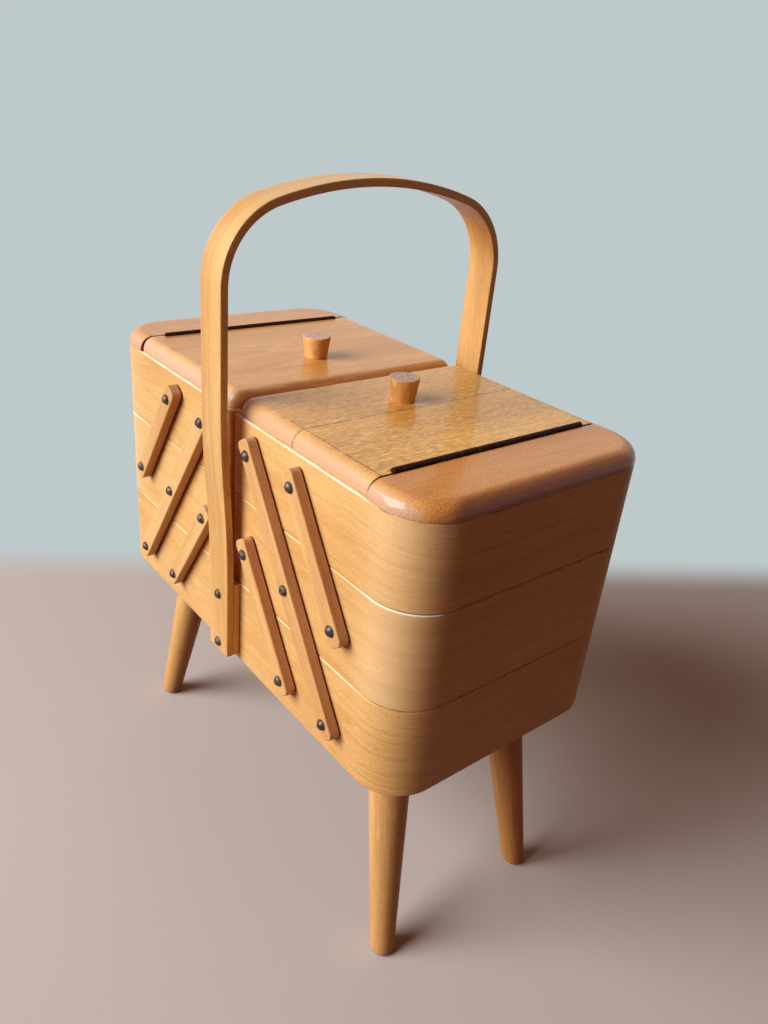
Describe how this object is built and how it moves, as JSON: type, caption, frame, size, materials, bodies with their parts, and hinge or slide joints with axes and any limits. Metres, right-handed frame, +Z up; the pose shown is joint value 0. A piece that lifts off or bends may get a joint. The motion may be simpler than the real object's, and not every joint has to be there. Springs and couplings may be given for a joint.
{
  "type": "folding sewing box on legs",
  "caption": "Cantilever sewing carrier: a bottom tray on splayed legs, tiers that swing out on link bars, hinged lids with knobs and a bentwood handle.",
  "frame": {"origin": "on the floor under the middle of the box", "axes": "+X along the box towards its right end, +Y towards the back long side, +Z up"},
  "size_m": [0.42, 0.258, 0.566],
  "materials": {
    "tray_beech": "warm amber clear varnish over beech, satin gloss",
    "lid_wood": "brown amber clear varnish, glossy",
    "link_beech": "satin varnish",
    "leg_beech": "satin varnish",
    "handle_beech": "satin varnish",
    "knob_beech": "varnished, end grain on top",
    "floor_plywood": "bare thin plywood",
    "screw_steel": "dark bronzed steel",
    "hinge_steel": "dark aged steel"
  },
  "bodies": {
    "base": {"bottom_tray_wall_right": "tray_beech", "bottom_tray_wall_left": "tray_beech", "bottom_tray_floor": "floor_plywood", "leg_battens": "tray_beech", "leg_back_right": "leg_beech", "leg_front_right": "leg_beech", "leg_back_left": "leg_beech", "leg_front_left": "leg_beech", "leg_studs": "screw_steel", "handle_hoop": "handle_beech", "handle_spacer_back": "handle_beech", "handle_spacer_front": "handle_beech", "handle_screws": "screw_steel", "bottom_pivot_screws": "screw_steel"},
    "long_links_right": {"long_link_front_right": "link_beech", "long_link_back_right": "link_beech"},
    "lower_links_right": {"lower_link_front_right": "link_beech", "lower_link_back_right": "link_beech"},
    "upper_links_right": {"upper_link_front_right": "link_beech", "upper_link_back_right": "link_beech"},
    "middle_tray_right": {"middle_tray_wall_right": "tray_beech", "middle_tray_inner_board_right": "tray_beech", "middle_tray_floor_right": "floor_plywood", "middle_pivot_screws_right": "screw_steel"},
    "top_tray_right": {"top_tray_wall_right": "tray_beech", "top_tray_inner_board_right": "tray_beech", "top_tray_floor_right": "floor_plywood", "top_pivot_screws_right": "screw_steel", "end_rail_right": "lid_wood", "hinge_leaf_rail_right": "hinge_steel", "hinge_pin_right": "hinge_steel", "hinge_screws_rail_right": "screw_steel"},
    "lid_right": {"lid_panel_right": "lid_wood", "hinge_leaf_lid_right": "hinge_steel", "hinge_screws_lid_right": "screw_steel", "knob_right": "knob_beech", "knob_screw_right": "screw_steel"},
    "long_links_left": {"long_link_front_left": "link_beech", "long_link_back_left": "link_beech"},
    "lower_links_left": {"lower_link_front_left": "link_beech", "lower_link_back_left": "link_beech"},
    "upper_links_left": {"upper_link_front_left": "link_beech", "upper_link_back_left": "link_beech"},
    "middle_tray_left": {"middle_tray_wall_left": "tray_beech", "middle_tray_inner_board_left": "tray_beech", "middle_tray_floor_left": "floor_plywood", "middle_pivot_screws_left": "screw_steel"},
    "top_tray_left": {"top_tray_wall_left": "tray_beech", "top_tray_inner_board_left": "tray_beech", "top_tray_floor_left": "floor_plywood", "top_pivot_screws_left": "screw_steel", "end_rail_left": "lid_wood", "hinge_leaf_rail_left": "hinge_steel", "hinge_pin_left": "hinge_steel", "hinge_screws_rail_left": "screw_steel"},
    "lid_left": {"lid_panel_left": "lid_wood", "hinge_leaf_lid_left": "hinge_steel", "hinge_screws_lid_left": "screw_steel", "knob_left": "knob_beech", "knob_screw_left": "screw_steel"}
  },
  "joints": [
    {"name": "open_right", "type": "hinge", "parent": "base", "child": "long_links_right", "pos_m": [0.1441, 0, 0.222], "axis": [0, 1, 0], "range_deg": [0, 68]},
    {"name": "middle_tray_level_right", "type": "hinge", "parent": "long_links_right", "child": "middle_tray_right", "pos_m": [0.0893, 0, 0.30325], "axis": [0, 1, 0], "range_deg": [-68, 0]},
    {"name": "top_tray_level_right", "type": "hinge", "parent": "long_links_right", "child": "top_tray_right", "pos_m": [0.0345, 0, 0.38449], "axis": [0, 1, 0], "range_deg": [-68, 0]},
    {"name": "lower_links_swing_right", "type": "hinge", "parent": "base", "child": "lower_links_right", "pos_m": [0.0876, 0, 0.222], "axis": [0, 1, 0], "range_deg": [0, 68]},
    {"name": "upper_links_swing_right", "type": "hinge", "parent": "middle_tray_right", "child": "upper_links_right", "pos_m": [0.1458, 0, 0.30325], "axis": [0, 1, 0], "range_deg": [0, 68]},
    {"name": "lid_hinge_right", "type": "hinge", "parent": "top_tray_right", "child": "lid_right", "pos_m": [0.1556, 0, 0.4165], "axis": [0, 1, 0], "range_deg": [0, 180]},
    {"name": "open_left", "type": "hinge", "parent": "base", "child": "long_links_left", "pos_m": [-0.1441, 0, 0.222], "axis": [0, -1, 0], "range_deg": [0, 68]},
    {"name": "middle_tray_level_left", "type": "hinge", "parent": "long_links_left", "child": "middle_tray_left", "pos_m": [-0.0893, 0, 0.30325], "axis": [0, -1, 0], "range_deg": [-68, 0]},
    {"name": "top_tray_level_left", "type": "hinge", "parent": "long_links_left", "child": "top_tray_left", "pos_m": [-0.0345, 0, 0.38449], "axis": [0, -1, 0], "range_deg": [-68, 0]},
    {"name": "lower_links_swing_left", "type": "hinge", "parent": "base", "child": "lower_links_left", "pos_m": [-0.0876, 0, 0.222], "axis": [0, -1, 0], "range_deg": [0, 68]},
    {"name": "upper_links_swing_left", "type": "hinge", "parent": "middle_tray_left", "child": "upper_links_left", "pos_m": [-0.1458, 0, 0.30325], "axis": [0, -1, 0], "range_deg": [0, 68]},
    {"name": "lid_hinge_left", "type": "hinge", "parent": "top_tray_left", "child": "lid_left", "pos_m": [-0.1556, 0, 0.4165], "axis": [0, -1, 0], "range_deg": [0, 180]}
  ],
  "couplings": [
    {"joint": "middle_tray_level_right", "follows": "open_right", "ratio": -1},
    {"joint": "top_tray_level_right", "follows": "open_right", "ratio": -1},
    {"joint": "lower_links_swing_right", "follows": "open_right", "ratio": 1},
    {"joint": "upper_links_swing_right", "follows": "open_right", "ratio": 1},
    {"joint": "middle_tray_level_left", "follows": "open_left", "ratio": -1},
    {"joint": "top_tray_level_left", "follows": "open_left", "ratio": -1},
    {"joint": "lower_links_swing_left", "follows": "open_left", "ratio": 1},
    {"joint": "upper_links_swing_left", "follows": "open_left", "ratio": 1}
  ]
}
